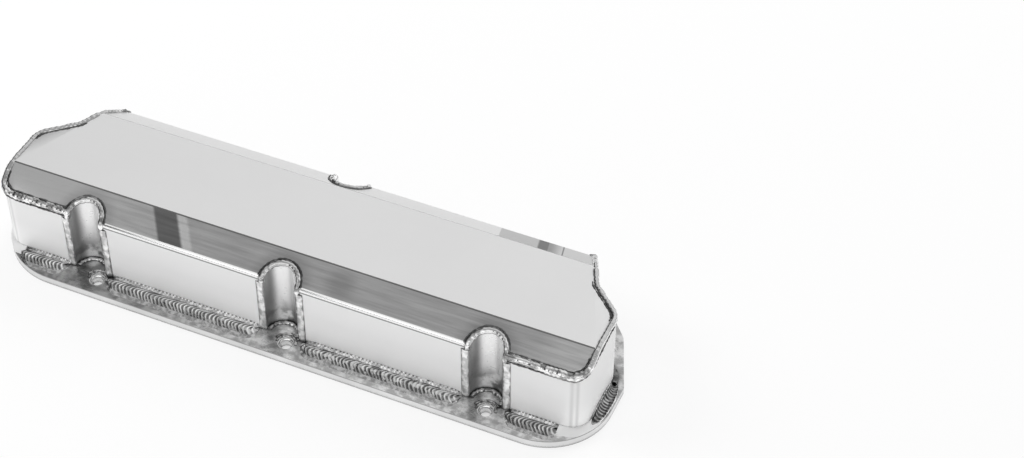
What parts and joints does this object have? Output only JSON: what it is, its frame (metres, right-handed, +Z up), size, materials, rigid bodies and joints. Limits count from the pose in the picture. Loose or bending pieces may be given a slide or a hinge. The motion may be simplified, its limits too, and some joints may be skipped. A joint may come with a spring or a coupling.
{
  "type": "engine valve cover",
  "caption": "Welded sheet-aluminium engine valve cover: a long folded box on a flat bolt flange, with half-round bolt pockets, stepped ends and raised weld beads.",
  "frame": {"origin": "centre of the flange outline in plan, at the gasket face", "axes": "+X along the cover's length, -Y towards the side with the row of bolt pockets, +Z up away from the cylinder head"},
  "size_m": [0.48, 0.1364, 0.071],
  "materials": {
    "folded_sheet": "brushed, ground by hand",
    "flange_plate": "machined",
    "weld_bead": "as welded, bright"
  },
  "bodies": {
    "root": {"base_flange": "flange_plate", "end_cap_left": "folded_sheet", "end_cap_right": "folded_sheet", "front_pocket_centre": "folded_sheet", "front_pocket_left": "folded_sheet", "front_pocket_right": "folded_sheet", "rear_pocket": "folded_sheet", "top_shell": "folded_sheet", "weld_arch_front_pocket_centre": "weld_bead", "weld_arch_front_pocket_left": "weld_bead", "weld_arch_front_pocket_right": "weld_bead", "weld_arch_rear_pocket": "weld_bead", "weld_base_corner_left": "weld_bead", "weld_base_corner_right": "weld_bead", "weld_base_end_left": "weld_bead", "weld_base_end_right": "weld_bead", "weld_base_front_left": "weld_bead", "weld_base_front_outer_left": "weld_bead", "weld_base_front_outer_right": "weld_bead", "weld_base_front_right": "weld_bead", "weld_base_rear_left": "weld_bead", "weld_base_rear_right": "weld_bead", "weld_base_step_left": "weld_bead", "weld_base_step_right": "weld_bead", "weld_foot_front_pocket_centre": "weld_bead", "weld_foot_front_pocket_left": "weld_bead", "weld_foot_front_pocket_right": "weld_bead", "weld_foot_rear_pocket": "weld_bead", "weld_rear_corner_left": "weld_bead", "weld_rear_corner_right": "weld_bead", "weld_seam_end_left": "weld_bead", "weld_seam_end_right": "weld_bead", "weld_side_front_pocket_centre_left": "weld_bead", "weld_side_front_pocket_centre_right": "weld_bead", "weld_side_front_pocket_left_left": "weld_bead", "weld_side_front_pocket_left_right": "weld_bead", "weld_side_front_pocket_right_left": "weld_bead", "weld_side_front_pocket_right_right": "weld_bead", "weld_side_rear_pocket_left": "weld_bead", "weld_side_rear_pocket_right": "weld_bead"}
  },
  "joints": []
}
